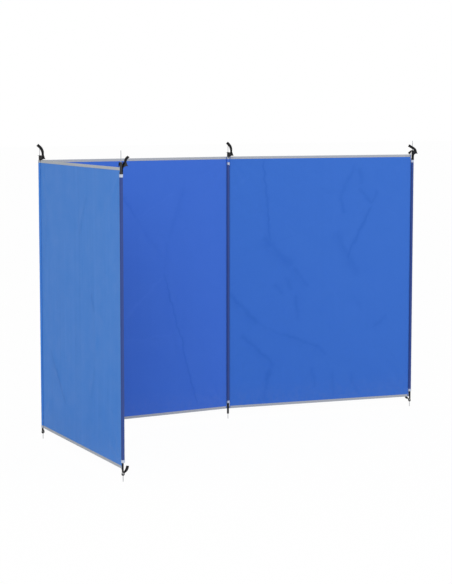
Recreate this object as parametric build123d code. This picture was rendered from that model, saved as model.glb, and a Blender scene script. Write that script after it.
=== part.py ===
from build123d import *
import math
import os

os.makedirs("parts", exist_ok=True)

# Plan of the pitched windbreak: the middle bay runs along X and shelters the -Y side
bay_pitch = 1220.0          # pole axis to pole axis, the same in every bay
corner_angle = 95.0         # left bay against middle bay, measured on the sheltered side
bend_angle = 10.0           # right bay turned in from the line of the middle bay

# Cloth of one bay
cloth_height = 1520.0       # over the edge tapes
cloth_thickness = 0.8
hem_height = 62.0           # lower cloth edge above the blunt ends of the spikes
cloth_play = 0.3            # cloth edge beside the sleeve
notch_play = 0.4            # cloth edge beside the taped sleeve mouths
notch_margin = 2.0          # cloth notch past the mouth tape

# Woven tape folded over the upper and lower cloth edge
edge_tape_depth = 15.0
edge_tape_thickness = 0.5
edge_tape_setback = 4.7     # end of the tape back from the cloth corner

# Pole: steel tube with a moulded plug and a steel pin at both ends
tube_radius = 8.0
tube_wall = 1.0
head_tube_inset = 40.0      # tube end below the upper cloth edge
foot_tube_inset = 60.0      # tube end above the lower cloth edge
spigot_length = 30.0
spigot_play = 0.1
head_cap_inset = 22.0       # top of the wide cap below the upper cloth edge
cap_round = 1.5
foot_cone_share = 0.65      # coned end of the lower stem, as a share of its radius
head_stem_radius = 6.0
stem_radius = 3.5           # lower stem
head_stem_rise = 24.0       # shoulder of the upper stem above the cloth
foot_stem_drop = 13.0       # start of the coned stem end below the cloth
guy_pin_radius = 1.6
guy_root_radius = 1.85      # part of the upper pin that the eyelet sits on
guy_root_rise = 4.0         # step of the upper pin above the shoulder
spike_radius = 1.7
spike_root_radius = 2.0
spike_root_gap = 3.0        # step of the spike below the webbing
head_pin_rise = 84.0        # tip of the upper pin above the cloth
pin_chamfer = 0.5

# Cloth sleeve on the pole with a taped mouth at both ends
sleeve_play = 0.2
sleeve_thickness = 0.6
mouth_inset = 34.0          # sleeve mouth inside the cloth edge
mouth_tape_height = 15.0
mouth_tape_play = 0.05
mouth_tape_thickness = 1.05

# Webbing of the upper tensioner
web_width = 16.0
web_thickness = 1.6
strap_heading = -75.0       # plan direction of the tensioner, turned to the sheltered side
strap_standoff = 12.0       # gap from the tab to the strand that runs down to the buckle
strap_bend_radius = 4.0
strap_end_overhang = 9.0    # webbing past the pin
strap_turn_radius = 2.4     # centre line of the webbing round a buckle bar
twist_shares = [0.0, 0.2, 0.4, 0.6, 0.8, 1.0]

# Loose end of each upper strap: start above the cloth, rise, sweep outward and sideways, twist and bend
tail_start_rises = {"left_end": 28.0, "corner": 34.0, "inner": 34.0, "right_end": 28.0}
tail_lifts = {"left_end": 26.0, "corner": 51.0, "inner": 49.0, "right_end": 28.0}
tail_sweeps_out = {"left_end": 10.0, "corner": -21.0, "inner": -18.0, "right_end": -21.0}
tail_sweeps_side = {"left_end": -2.0, "corner": -21.0, "inner": -18.0, "right_end": -30.0}
tail_twists = {"left_end": 40.0, "corner": -45.0, "inner": -45.0, "right_end": -35.0}
tail_stand_shares = {"left_end": 0.1, "corner": 0.55, "inner": 0.55, "right_end": 0.1}
tail_lean_shares = {"left_end": 0.5, "corner": 0.75, "inner": 0.75, "right_end": 0.6}

# Leg of the upper strap that is sewn to the cloth corner on the end poles
leg_start = 6.3             # from the pin axis
leg_crest = 11.0
leg_end = 18.0
leg_end_rise = 4.5          # lower end above the cloth edge
leg_twist = 70.0
leg_headings = {"left_end": 0.0, "right_end": 180.0}

# Tab that ties the buckle to the sleeve mouth
tab_play = 0.3
tab_half_angle = 48.0
tab_flat_start = 0.5        # cupped webbing turns flat this far above the cloth
tab_lap = 0.5
tab_return_end = 0.5

# Ladder buckle
tab_bar_rise = 5.0          # bar centres above the cloth
strap_bar_rise = 12.5
lever_bar_rise = 24.0
bar_play = 0.1
lever_bar_play = 0.2
rail_play = 0.8
rail_thickness = 2.5
rail_margin = 1.2
rail_chamfer = 0.6
thumb_gap = 2.6             # webbing to the root of the thumb plate
thumb_rise = 10.0           # root of the thumb plate above the cloth
thumb_length = 7.0
thumb_thickness = 2.0
thumb_tilt = 30.0           # thumb plate below level

# Stirrup of webbing under the foot of the pole
foot_web_width = 11.0
foot_web_thickness = 1.4
foot_web_play = 0.3         # stem to webbing
foot_strand_top = 54.0      # upper end inside the sleeve, above the lower cloth edge
foot_loop_drop = 24.0       # centre of the loop below the cloth
foot_loop_radius = 6.0      # centre line of the webbing
foot_neck_rise = 9.0        # strands spread to the loop over this height
foot_return_drop = 11.0     # sewn end below the cloth on the inner poles
foot_headings = {"left_end": 65.0, "corner": 140.0, "inner": 60.0, "right_end": -20.0}

# Loose end of the stirrup on the end poles
foot_tail_reach = 13.5
foot_tail_rises = {"left_end": 43.0, "right_end": 23.0}
foot_tail_stand_share = 0.25
foot_tail_lean_share = 0.6
foot_tail_twist = 80.0

# Cloth that runs on past the sleeve mouths, round the outside of the poles: start and sweep in plan
foot_bridge_starts = {"left_end": -5.0, "corner": 0.0, "inner": -25.0, "right_end": 75.0}
foot_bridge_sweeps = {"left_end": 110.0, "corner": 262.0, "inner": 205.0, "right_end": 110.0}
head_bridge_starts = {"corner": 0.0, "inner": -18.0}
head_bridge_sweeps = {"corner": 228.0, "inner": 198.0}

# Mouth tape, all the way round on the end poles and on the sheltered side of the others
mouth_starts = {"left_end": 0.0, "corner": -98.0, "inner": -140.0, "right_end": 0.0}
mouth_sweeps = {"left_end": 360.0, "corner": 98.0, "inner": 65.0, "right_end": 360.0}

# Eyelets pressed into the webbing round the pins
eyelet_play = 0.1
eyelet_flange = 2.9
eyelet_flange_thickness = 1.0
spike_hole_play = 0.4

# Radii about the pole axis that follow from the tube, stem and pins
sleeve_inner_radius = tube_radius + sleeve_play
sleeve_outer_radius = sleeve_inner_radius + sleeve_thickness
mouth_tape_inner_radius = sleeve_outer_radius + mouth_tape_play
mouth_tape_outer_radius = mouth_tape_inner_radius + mouth_tape_thickness
cloth_inset = sleeve_outer_radius + cloth_play
notch_inset = mouth_tape_outer_radius + notch_play
notch_depth = mouth_inset + mouth_tape_height + notch_margin
edge_tape_inset = notch_inset + edge_tape_setback
tab_inner_radius = tube_radius + tab_play
strap_reach = tab_inner_radius + web_thickness + strap_standoff
foot_strand_radius = stem_radius + foot_web_play + foot_web_thickness / 2
eyelet_bore_radius = guy_root_radius + eyelet_play
eyelet_flange_radius = eyelet_bore_radius + eyelet_flange
spike_hole_radius = spike_root_radius + spike_hole_play
bar_radius = strap_turn_radius - web_thickness / 2 - bar_play
lever_bar_radius = strap_turn_radius - web_thickness / 2 - lever_bar_play

# Levels
hem_z = hem_height
head_z = hem_height + cloth_height
sleeve_low_z = hem_z + mouth_inset
sleeve_high_z = head_z - mouth_inset
shoulder_z = head_z + head_stem_rise
stem_z = hem_z - foot_stem_drop
loop_z = hem_z - foot_loop_drop
cone_z = stem_z - foot_cone_share * stem_radius


def turned(points, start=0, arc=360):
    """Body of revolution about the pole axis from (radius, height) points."""
    outline = Plane.XZ * make_face(Polyline(*points, close=True))
    return Rot(0, 0, start) * revolve(outline, Axis.Z, arc)


def ring(outer_radius, inner_radius, low_z, high_z, start=0, arc=360):
    points = [(inner_radius, low_z), (outer_radius, low_z), (outer_radius, high_z), (inner_radius, high_z)]
    return turned(points, start, arc)


def make_panel():
    right = bay_pitch
    low = hem_z + edge_tape_thickness
    high = head_z - edge_tape_thickness
    points = [
        (notch_inset, low),
        (right - notch_inset, low),
        (right - notch_inset, hem_z + notch_depth),
        (right - cloth_inset, hem_z + notch_depth),
        (right - cloth_inset, head_z - notch_depth),
        (right - notch_inset, head_z - notch_depth),
        (right - notch_inset, high),
        (notch_inset, high),
        (notch_inset, head_z - notch_depth),
        (cloth_inset, head_z - notch_depth),
        (cloth_inset, hem_z + notch_depth),
        (notch_inset, hem_z + notch_depth),
    ]
    outline = Plane.XZ * make_face(Polyline(*points, close=True))
    return extrude(outline, amount=cloth_thickness / 2, both=True)


def make_edge_tapes():
    half_cloth = cloth_thickness / 2
    half_tape = half_cloth + edge_tape_thickness
    tapes = []
    for edge_z, inward in ((hem_z, 1), (head_z, -1)):
        fold_z = edge_z + inward * edge_tape_thickness
        lip_z = edge_z + inward * edge_tape_depth
        section = Polyline(
            (-half_tape, edge_z),
            (half_tape, edge_z),
            (half_tape, lip_z),
            (half_cloth, lip_z),
            (half_cloth, fold_z),
            (-half_cloth, fold_z),
            (-half_cloth, lip_z),
            (-half_tape, lip_z),
            close=True,
        )
        start = Plane(origin=(edge_tape_inset, 0, 0), x_dir=(0, 1, 0), z_dir=(1, 0, 0))
        tapes.append(extrude(start * make_face(section), amount=bay_pitch - 2 * edge_tape_inset))
    return Compound(children=tapes)


def make_tube():
    low_z = hem_z + foot_tube_inset
    high_z = head_z - head_tube_inset
    return ring(tube_radius, tube_radius - tube_wall, low_z, high_z)


def make_plugs():
    spigot_radius = tube_radius - tube_wall - spigot_play
    tube_top = head_z - head_tube_inset
    cap_top = head_z - head_cap_inset
    head = turned([
        (0, tube_top - spigot_length),
        (spigot_radius, tube_top - spigot_length),
        (spigot_radius, tube_top),
        (tube_radius, tube_top),
        (tube_radius, cap_top - cap_round),
        (tube_radius - cap_round, cap_top),
        (head_stem_radius, cap_top),
        (head_stem_radius, shoulder_z),
        (0, shoulder_z),
    ])
    tube_foot = hem_z + foot_tube_inset
    foot = turned([
        (0, tube_foot + spigot_length),
        (spigot_radius, tube_foot + spigot_length),
        (spigot_radius, tube_foot),
        (stem_radius, tube_foot),
        (stem_radius, stem_z),
        (spike_root_radius, cone_z),
        (0, cone_z),
    ])
    return Compound(children=[head, foot])


def make_pins():
    tip_z = head_z + head_pin_rise
    step_z = shoulder_z + guy_root_rise
    guy_pin = turned([
        (0, shoulder_z),
        (guy_root_radius, shoulder_z),
        (guy_root_radius, step_z),
        (guy_pin_radius, step_z),
        (guy_pin_radius, tip_z - pin_chamfer),
        (guy_pin_radius - pin_chamfer, tip_z),
        (0, tip_z),
    ])
    root_z = loop_z - foot_loop_radius - foot_web_thickness / 2 - spike_root_gap
    spike = turned([
        (0, 0),
        (spike_radius - pin_chamfer, 0),
        (spike_radius, pin_chamfer),
        (spike_radius, root_z),
        (spike_root_radius, root_z),
        (spike_root_radius, cone_z),
        (0, cone_z),
    ])
    return Compound(children=[guy_pin, spike])


def make_sleeve(pole):
    outer = sleeve_outer_radius
    inner = sleeve_inner_radius
    sleeve = ring(outer, inner, sleeve_low_z, sleeve_high_z)
    low_z = hem_z + edge_tape_thickness
    sleeve += ring(outer, inner, low_z, sleeve_low_z, foot_bridge_starts[pole], foot_bridge_sweeps[pole])
    if pole in head_bridge_starts:
        high_z = head_z - edge_tape_thickness
        head_start = head_bridge_starts[pole]
        sleeve += ring(outer, inner, sleeve_high_z, high_z, head_start, head_bridge_sweeps[pole])
    return sleeve


def bridge_tape(edge_z, inward, start, arc):
    """Tape folded over the edge of the cloth that runs round the pole."""
    outer = sleeve_outer_radius + edge_tape_thickness
    inner = sleeve_inner_radius - edge_tape_thickness
    fold_z = edge_z + inward * edge_tape_thickness
    lip_z = edge_z + inward * edge_tape_depth
    points = [
        (inner, edge_z),
        (outer, edge_z),
        (outer, lip_z),
        (sleeve_outer_radius, lip_z),
        (sleeve_outer_radius, fold_z),
        (sleeve_inner_radius, fold_z),
        (sleeve_inner_radius, lip_z),
        (inner, lip_z),
    ]
    return turned(points, start, arc)


def make_mouth_tapes(pole):
    inner = mouth_tape_inner_radius
    outer = mouth_tape_outer_radius
    low_top = sleeve_low_z + mouth_tape_height
    high_foot = sleeve_high_z - mouth_tape_height
    tapes = [
        ring(outer, inner, sleeve_low_z, low_top, mouth_starts[pole], mouth_sweeps[pole]),
        ring(outer, inner, high_foot, sleeve_high_z, mouth_starts[pole], mouth_sweeps[pole]),
        bridge_tape(hem_z, 1, foot_bridge_starts[pole], foot_bridge_sweeps[pole]),
    ]
    if pole in head_bridge_starts:
        tapes.append(bridge_tape(head_z, -1, head_bridge_starts[pole], head_bridge_sweeps[pole]))
    return Compound(children=tapes)


def webbing(path, width, thickness):
    """Flat webbing drawn along a path in the XZ plane, its width across Y."""
    start = Plane(origin=path @ 0, x_dir=(0, 1, 0), z_dir=path % 0)
    return sweep(start * Rectangle(width, thickness), path=path)


def loose_end(curve, twist, width, thickness):
    """Webbing along a curve, its width turned from Y about the upright axis, most of it near the start."""
    sections = []
    for share in twist_shares:
        wide = Vector(0, 1, 0).rotate(Axis.Z, share * (2 - share) * twist)
        place = Plane(origin=curve @ share, x_dir=wide, z_dir=curve % share)
        sections.append(place * Rectangle(width, thickness))
    return loft(sections, ruled=True)


def make_top_strap(pole):
    lay_z = shoulder_z + web_thickness / 2
    bar_z = head_z + strap_bar_rise
    tail_z = head_z + tail_start_rises[pole]
    rise_x = strap_reach + 2 * strap_turn_radius
    across = Line((-strap_end_overhang, 0, lay_z), (strap_reach - strap_bend_radius, 0, lay_z))
    down = Line((strap_reach, 0, lay_z - strap_bend_radius), (strap_reach, 0, bar_z))
    under = (strap_reach + strap_turn_radius, 0, bar_z - strap_turn_radius)
    turn = ThreePointArc((strap_reach, 0, bar_z), under, (rise_x, 0, bar_z))
    up = Line((rise_x, 0, bar_z), (rise_x, 0, tail_z))
    corner = (strap_reach - strap_bend_radius, 0, lay_z - strap_bend_radius)
    half = math.sqrt(0.5)
    crest = (corner[0] + strap_bend_radius * half, 0, corner[2] + strap_bend_radius * half)
    bend = ThreePointArc(across @ 1, crest, down @ 0)
    strap = webbing(Wire([across, bend, down, turn, up]), web_width, web_thickness)

    lift = tail_lifts[pole]
    out = tail_sweeps_out[pole]
    side = tail_sweeps_side[pole]
    stand = Vector(rise_x, 0, tail_z + tail_stand_shares[pole] * lift)
    lean = Vector(rise_x + out / 2, side / 2, tail_z + tail_lean_shares[pole] * lift)
    curl = Bezier((rise_x, 0, tail_z), stand, lean, (rise_x + out, side, tail_z + lift))
    strap += loose_end(curl, tail_twists[pole], web_width, web_thickness)
    strap = Rot(0, 0, strap_heading) * strap
    if pole in leg_headings:
        low_z = head_z + leg_end_rise
        crest = (leg_crest, 0, shoulder_z)
        leg_line = Bezier((leg_start, 0, shoulder_z), crest, crest, (leg_end, 0, low_z))
        strap += Rot(0, 0, leg_headings[pole]) * loose_end(leg_line, leg_twist, web_width, web_thickness)
    eyelet_hole = Pos(0, 0, lay_z) * Cylinder(eyelet_bore_radius, 2 * web_thickness)
    return strap - eyelet_hole


def make_buckle():
    tab_x = tab_inner_radius + web_thickness / 2 + strap_turn_radius
    strap_x = strap_reach + strap_turn_radius
    thumb_x = strap_x + strap_turn_radius + web_thickness / 2 + thumb_gap
    thumb_z = head_z + thumb_rise
    bars = [
        (tab_x, head_z + tab_bar_rise, bar_radius),
        (strap_x, head_z + strap_bar_rise, bar_radius),
        (strap_x, head_z + lever_bar_rise, lever_bar_radius),
    ]
    inner_y = web_width / 2 + rail_play
    half_span = inner_y + rail_thickness - rail_chamfer
    corners = bars + [(thumb_x, thumb_z, thumb_thickness / 2)]
    rounds = [Pos(x, z) * Circle(radius + rail_margin) for x, z, radius in corners]
    rail_face = make_hull([edge for outline in rounds for edge in outline.edges()])
    rail = extrude(Plane.XZ * rail_face, amount=-rail_thickness)
    rail = chamfer(rail.faces().sort_by(Axis.Y)[-1].edges(), rail_chamfer)
    far_rail = Pos(0, inner_y, 0) * rail
    buckle = far_rail + mirror(far_rail, about=Plane.XZ)
    for x, z, radius in bars:
        side = radius * math.sqrt(2)
        buckle += Pos(x, 0, z) * Box(side, 2 * half_span, side)
    blade = Pos(thumb_length / 2, 0) * SlotCenterToCenter(thumb_length, thumb_thickness)
    plate = Plane.XZ * (Pos(thumb_x, thumb_z) * Rot(0, 0, -thumb_tilt) * blade)
    return buckle + extrude(plate, amount=half_span, both=True)


def make_tab():
    outer = tab_inner_radius + web_thickness
    flat_z = head_z + tab_flat_start
    cup_height = flat_z + tab_lap - sleeve_high_z
    arc_start = -tab_half_angle
    inner_arc = CenterArc((0, 0), tab_inner_radius, arc_start, 2 * tab_half_angle)
    outer_arc = CenterArc((0, 0), outer, arc_start, 2 * tab_half_angle)
    sides = [Line(inner_arc @ 0, outer_arc @ 0), Line(inner_arc @ 1, outer_arc @ 1)]
    cup_face = make_face([inner_arc, outer_arc] + sides)
    cup = extrude(Pos(0, 0, sleeve_high_z) * cup_face, amount=cup_height)
    near_x = tab_inner_radius + web_thickness / 2
    far_x = near_x + 2 * strap_turn_radius
    bar_z = head_z + tab_bar_rise
    up = Line((near_x, 0, flat_z), (near_x, 0, bar_z))
    crown = (near_x + strap_turn_radius, 0, bar_z + strap_turn_radius)
    over = ThreePointArc(up @ 1, crown, (far_x, 0, bar_z))
    back = Line((far_x, 0, bar_z), (far_x, 0, head_z + tab_return_end))
    return cup + webbing(Wire([up, over, back]), web_width, web_thickness)


def make_foot_strap(pole):
    strand = foot_strand_radius
    loop = foot_loop_radius
    neck_z = loop_z + foot_neck_rise
    down = Line((strand, 0, hem_z + foot_strand_top), (strand, 0, neck_z))
    spread = Spline(down @ 1, (loop, 0, loop_z), tangents=[(0, 0, -1), (0, 0, -1)])
    turn = ThreePointArc(spread @ 1, (0, 0, loop_z - loop), (-loop, 0, loop_z))
    if pole in foot_tail_rises:
        rise = foot_tail_rises[pole]
        stand = (-loop, 0, loop_z + foot_tail_stand_share * rise)
        lean = (-loop - foot_tail_lean_share * foot_tail_reach, 0, loop_z + foot_tail_lean_share * rise)
        flare = Bezier(turn @ 1, stand, lean, (-loop - foot_tail_reach, 0, loop_z + rise))
        strap = webbing(Wire([down, spread, turn]), foot_web_width, foot_web_thickness)
        strap += loose_end(flare, foot_tail_twist, foot_web_width, foot_web_thickness)
    else:
        gather = Spline(turn @ 1, (-strand, 0, neck_z), tangents=[(0, 0, 1), (0, 0, 1)])
        up = Line(gather @ 1, (-strand, 0, hem_z - foot_return_drop))
        strap = webbing(Wire([down, spread, turn, gather, up]), foot_web_width, foot_web_thickness)
    hole = Pos(0, 0, loop_z - loop) * Cylinder(spike_hole_radius, strand)
    return Rot(0, 0, foot_headings[pole]) * (strap - hole)


def make_eyelet():
    low_z = shoulder_z + web_thickness
    return ring(eyelet_flange_radius, eyelet_bore_radius, low_z, low_z + eyelet_flange_thickness)


# Each bay stands at its own left pole, seen from the sheltered side, turned to its own plan angle
left_turn = 180 - corner_angle
left_foot = Vector(-bay_pitch, 0, 0).rotate(Axis.Z, left_turn)
right_foot = Vector(bay_pitch, 0, 0).rotate(Axis.Z, -bend_angle) + Vector(bay_pitch, 0, 0)
bay_places = {
    "left": Location(left_foot) * Rot(0, 0, left_turn),
    "middle": Location((0, 0, 0)),
    "right": Location((bay_pitch, 0, 0)) * Rot(0, 0, -bend_angle),
}
pole_places = {
    "left_end": bay_places["left"],
    "corner": Location((0, 0, 0)),
    "inner": Location((bay_pitch, 0, 0)),
    "right_end": Location(right_foot) * Rot(0, 0, -bend_angle),
}

nodes = {}
panel = make_panel()
edge_tapes = make_edge_tapes()
for bay, place in bay_places.items():
    nodes[bay + "_panel"] = place * panel
    nodes[bay + "_edge_tapes"] = place * edge_tapes

tube = make_tube()
plugs = make_plugs()
pins = make_pins()
tab = Rot(0, 0, strap_heading) * make_tab()
buckle = Rot(0, 0, strap_heading) * make_buckle()
for pole, place in pole_places.items():
    nodes[pole + "_tube"] = place * tube
    nodes[pole + "_plugs"] = place * plugs
    nodes[pole + "_pins"] = place * pins
    nodes[pole + "_sleeve"] = place * make_sleeve(pole)
    nodes[pole + "_mouth_tapes"] = place * make_mouth_tapes(pole)
    nodes[pole + "_tab"] = place * tab
    nodes[pole + "_buckle"] = place * buckle
    nodes[pole + "_top_strap"] = place * make_top_strap(pole)
    nodes[pole + "_foot_strap"] = place * make_foot_strap(pole)

eyelet = make_eyelet()
nodes["left_eyelet"] = pole_places["left_end"] * eyelet
nodes["middle_eyelets"] = Compound(children=[pole_places["corner"] * eyelet, pole_places["inner"] * eyelet])
nodes["right_eyelet"] = pole_places["right_end"] * eyelet

for name, shape in nodes.items():
    export_step(shape, "parts/" + name + ".step")
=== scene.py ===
import bpy
import math
import numpy as np
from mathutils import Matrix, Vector


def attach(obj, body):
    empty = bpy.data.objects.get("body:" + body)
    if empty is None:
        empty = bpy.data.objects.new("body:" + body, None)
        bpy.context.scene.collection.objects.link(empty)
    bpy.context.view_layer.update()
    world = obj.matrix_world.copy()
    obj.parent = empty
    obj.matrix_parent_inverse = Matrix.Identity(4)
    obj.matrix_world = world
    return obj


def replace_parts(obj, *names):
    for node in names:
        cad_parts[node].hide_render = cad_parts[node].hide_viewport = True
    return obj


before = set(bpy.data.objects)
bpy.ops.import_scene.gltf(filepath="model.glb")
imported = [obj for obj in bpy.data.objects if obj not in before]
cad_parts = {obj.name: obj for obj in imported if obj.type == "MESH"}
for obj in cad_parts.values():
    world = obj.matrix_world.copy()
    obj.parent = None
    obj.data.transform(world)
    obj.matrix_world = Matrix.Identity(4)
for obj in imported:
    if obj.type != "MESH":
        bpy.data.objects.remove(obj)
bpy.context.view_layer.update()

print("frame loaded,", len(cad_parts), "solids")

# plan of the pitched windbreak, metres and degrees, the same as the solids have
plan = {"pitch": 1.22, "cornerAngle": 95.0, "bendAngle": 10.0, "hem": 0.062, "head": 1.582, "shoulder": 1.606,
        "loop": 0.038}


def turnZ(degrees):  # 3x3 turn about the upright axis
    a = math.radians(degrees)
    return np.array([[math.cos(a), -math.sin(a), 0.0], [math.sin(a), math.cos(a), 0.0], [0.0, 0.0, 1.0]])


leftTurn = turnZ(180 - plan["cornerAngle"])
rightTurn = turnZ(-plan["bendAngle"])
along = np.array([plan["pitch"], 0.0, 0.0])
bays = {
    "left": {"foot": -(leftTurn @ along), "turn": leftTurn, "body": "left_bay", "ends": ("left_end", "corner")},
    "middle": {"foot": np.zeros(3), "turn": np.eye(3), "body": "middle_bay", "ends": ("corner", "inner")},
    "right": {"foot": along, "turn": rightTurn, "body": "right_bay", "ends": ("inner", "right_end")},
}
poles = {
    "left_end": {"foot": bays["left"]["foot"], "turn": leftTurn, "body": "left_bay"},
    "corner": {"foot": np.zeros(3), "turn": np.eye(3), "body": "middle_bay"},
    "inner": {"foot": along, "turn": np.eye(3), "body": "middle_bay"},
    "right_end": {"foot": along + rightTurn @ along, "turn": rightTurn, "body": "right_bay"},
}


def place(points, where):  # local points of a bay or pole carried to the row frame
    return (points.reshape(-1, 3) @ where["turn"].T + where["foot"]).reshape(points.shape)


def fromEdge(z):  # distance to the nearer edge of the cloth, upper or lower
    return np.minimum(z - plan["hem"], plan["head"] - z)


def unit(vectors):  # each vector over its length
    return vectors / np.linalg.norm(vectors, axis=-1, keepdims=True)


def squareTo(ahead, vectors):  # each vector less its share along ahead, made one unit long
    return unit(vectors - ahead * np.einsum("ij,ij->i", ahead, vectors)[:, None])


def smooth(share):  # smooth step: three squares less two cubes
    return share ** 2 * (3 - 2 * share)


def uvGrid(across, length):  # u runs across the piece and v along it
    return np.stack(np.broadcast_arrays(across[None, :], length.reshape(-1, 1)), axis=2)


def roundPole(radius, angle, z):  # points at a radius and an angle about the pole axis, at a height
    return np.stack(np.broadcast_arrays(radius * np.cos(angle), radius * np.sin(angle), z), axis=2)


# mesh helpers

def signedVolume(points, quads):  # sixth of the triple products over both halves of each quad
    a, b, c, d = (points[quads[:, k]] for k in range(4))
    halves = np.einsum("ij,ij->i", a, np.cross(b, c)) + np.einsum("ij,ij->i", a, np.cross(c, d))
    return halves.sum() / 6


def inScene(thing):
    bpy.context.scene.collection.objects.link(thing)
    return thing


def meshFrom(name, points, quads, corners, extraFaces=(), extraCorners=None, sharp=None):
    mesh = bpy.data.meshes.new(name)
    mesh.from_pydata(points.tolist(), [], quads.tolist() + [list(f) for f in extraFaces])
    allCorners = corners if extraCorners is None else np.concatenate([corners, extraCorners])
    layer = mesh.uv_layers.new(name="clothUV")
    layer.data.foreach_set("uv", allCorners.astype(np.float32).ravel())
    mesh.polygons.foreach_set("use_smooth", np.ones(len(mesh.polygons), bool))
    if sharp is not None:
        mesh.set_sharp_from_angle(angle=math.radians(sharp))
    mesh.update()
    return inScene(bpy.data.objects.new(name, mesh))


# points[i, j]: rows i run along the piece and columns j across it; every four neighbours make a quad, and rows or
# columns that close go on from the last to the first
def gridFaces(uv, rows, cols, rowsClose, colsClose):
    spans = np.arange(rows - (not rowsClose)), np.arange(cols - (not colsClose))
    i, j = (k.ravel() for k in np.meshgrid(*spans, indexing="ij"))
    ni, nj = (i + 1) % rows, (j + 1) % cols
    quads = np.stack([i * cols + j, i * cols + nj, ni * cols + nj, ni * cols + j], axis=1)
    return quads, np.stack([uv[i, j], uv[i, j + 1], uv[i + 1, j + 1], uv[i + 1, j]], axis=1)


def openSurface(name, points, uv, facing):
    quads, corners = gridFaces(uv, *points.shape[:2], False, False)
    flat = points.reshape(-1, 3)
    up = np.cross(flat[quads[:, 1]] - flat[quads[:, 0]], flat[quads[:, 3]] - flat[quads[:, 0]])
    if (up @ facing).sum() < 0:  # wind the faces so that they look along facing
        quads, corners = quads[:, ::-1], corners[:, ::-1]
    return meshFrom(name, flat, quads, corners.reshape(-1, 2))


# a loop of columns carried along the rows, so column j closes on column 0; ends get a cap, or the rows close as well
def closedSurface(name, points, uv, ringed=False, sharp=None):
    rows, cols = points.shape[:2]
    quads, corners = gridFaces(uv, rows, cols, ringed, True)
    flat = points.reshape(-1, 3)
    inward = signedVolume(flat - flat.mean(0), quads) < 0
    if inward:
        quads, corners = quads[:, ::-1], corners[:, ::-1]
    if ringed:
        return meshFrom(name, flat, quads, corners.reshape(-1, 2), sharp=sharp)
    first, last = np.arange(cols), (rows - 1) * cols + np.arange(cols)
    capFirst, capLast = (first, last[::-1]) if inward else (first[::-1], last)
    uvFirst, uvLast = uv[0, :cols], uv[rows - 1, :cols]
    uvFirst, uvLast = (uvFirst, uvLast[::-1]) if inward else (uvFirst[::-1], uvLast)
    return meshFrom(name, flat, quads, corners.reshape(-1, 2), (capFirst.tolist(), capLast.tolist()),
                    np.concatenate([uvFirst, uvLast]), sharp)


edgeRound = {"power": 6, "least": 0.12, "sharp": 40}


# a mid surface given body: each point is pushed both ways along the surface normal by half the thickness,
# less towards the two long edges, where a superellipse rounds it off
def thickBand(name, middle, thickness, lengthUV, acrossUV):
    normal = unit(np.cross(np.gradient(middle, axis=0), np.gradient(middle, axis=1)))
    x = np.linspace(-1, 1, middle.shape[1])
    profile = np.clip(1 - np.abs(x) ** edgeRound["power"], edgeRound["least"], 1) ** (1 / edgeRound["power"])
    half = np.multiply.outer(np.broadcast_to(thickness, len(middle)) / 2, profile)[:, :, None]
    loop = np.concatenate([middle + normal * half, (middle - normal * half)[:, ::-1]], axis=1)
    around = np.concatenate([acrossUV, acrossUV[::-1] + 2 * acrossUV[-1], [acrossUV[0] + 4 * acrossUV[-1]]])
    return closedSurface(name, loop, uvGrid(around, lengthUV), sharp=edgeRound["sharp"])


def runLength(path):  # distance walked along a path, from its first point
    return np.concatenate([[0.0], np.cumsum(np.linalg.norm(np.diff(path, axis=0), axis=1))])


def straight(a, b, count):  # evenly spaced points from a to b, b left out
    w = np.linspace(0, 1, count, endpoint=False)[:, None]
    return (1 - w) * np.array(a, float) + w * np.array(b, float)


def arcXZ(centre, radius, start, end, count):  # arc in the XZ plane, angles in degrees from +X, end left out
    a = np.radians(np.linspace(start, end, count, endpoint=False))
    return np.stack([centre[0] + radius * np.cos(a), np.zeros(count), centre[1] + radius * np.sin(a)], axis=1)


# node groups shared by the finishes

def newGroup(name, vectors, numbers, outputs):  # vector inputs, number inputs with their values, number outputs
    tree = bpy.data.node_groups.new(name, "ShaderNodeTree")
    for label in vectors:
        tree.interface.new_socket(name=label, in_out="INPUT", socket_type="NodeSocketVector")
    for label, value in numbers.items():
        socket = tree.interface.new_socket(name=label, in_out="INPUT", socket_type="NodeSocketFloat")
        socket.default_value = value
    for label in outputs:
        tree.interface.new_socket(name=label, in_out="OUTPUT", socket_type="NodeSocketFloat")
    return tree, tree.nodes.new("NodeGroupInput"), tree.nodes.new("NodeGroupOutput")


def math2(tree, operation, a, b=None, clamp=False):  # one Math node; a and b are sockets or numbers
    node = tree.nodes.new("ShaderNodeMath")
    node.operation = operation
    node.use_clamp = clamp
    for k, value in enumerate((a, b)):
        if value is None:
            continue
        if isinstance(value, (int, float)):
            node.inputs[k].default_value = value
        else:
            tree.links.new(value, node.inputs[k])
    return node.outputs[0]


def scaled(tree, value, share, more):  # value times share, with more added
    return math2(tree, "ADD", math2(tree, "MULTIPLY", value, share), more)


def axesOf(tree, vector):
    split = tree.nodes.new("ShaderNodeSeparateXYZ")
    tree.links.new(vector, split.inputs[0])
    return split


def noiseOf(tree, vector, scale, detail=4.0, rough=0.55, stretch=None):
    if stretch is not None:
        mapping = tree.nodes.new("ShaderNodeMapping")
        mapping.inputs["Scale"].default_value = stretch
        tree.links.new(vector, mapping.inputs["Vector"])
        vector = mapping.outputs[0]
    node = tree.nodes.new("ShaderNodeTexNoise")
    node.inputs["Scale"].default_value = scale
    node.inputs["Detail"].default_value = detail
    node.inputs["Roughness"].default_value = rough
    tree.links.new(vector, node.inputs["Vector"])
    return node.outputs["Fac"]


def ramp(tree, value, low, high, toLow=0.0, toHigh=1.0):  # straight remap, clamped
    node = tree.nodes.new("ShaderNodeMapRange")
    for label, number in (("From Min", low), ("From Max", high), ("To Min", toLow), ("To Max", toHigh)):
        node.inputs[label].default_value = number
    tree.links.new(value, node.inputs["Value"])
    return node.outputs["Result"]


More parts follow.
